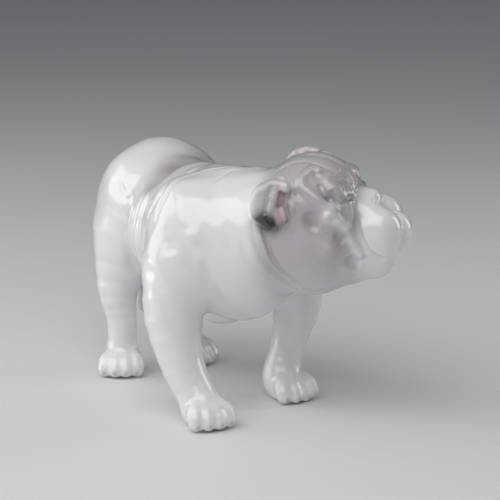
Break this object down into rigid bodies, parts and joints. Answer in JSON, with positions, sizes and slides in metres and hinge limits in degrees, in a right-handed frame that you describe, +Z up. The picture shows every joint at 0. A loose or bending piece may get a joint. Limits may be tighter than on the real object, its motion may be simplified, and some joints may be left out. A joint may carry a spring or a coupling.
{
  "type": "ceramic dog figurine",
  "caption": "Standing porcelain bulldog figurine, head turned to its left, of hollow castings luted together, glazed white with grey airbrushing.",
  "frame": {"origin": "under the middle of the figure's own box, on the plane of the soles", "axes": "+X is the way the body faces, +Y is the dog's left, +Z is up"},
  "size_m": [0.2032, 0.1143, 0.1369],
  "materials": {
    "white_glaze": "clear gloss glaze over white hard-paste porcelain",
    "head_glaze": "clear gloss glaze over mauve-grey airbrushed underglaze",
    "ear_glaze": "clear gloss glaze over grey underglaze, pink inside and black at the tip"
  },
  "bodies": {
    "root": {"torso": "white_glaze", "head": "head_glaze", "right_ear": "ear_glaze", "left_ear": "ear_glaze", "right_foreleg": "white_glaze", "left_foreleg": "white_glaze", "right_hind_leg": "white_glaze", "left_hind_leg": "white_glaze", "tail": "white_glaze"}
  },
  "joints": []
}
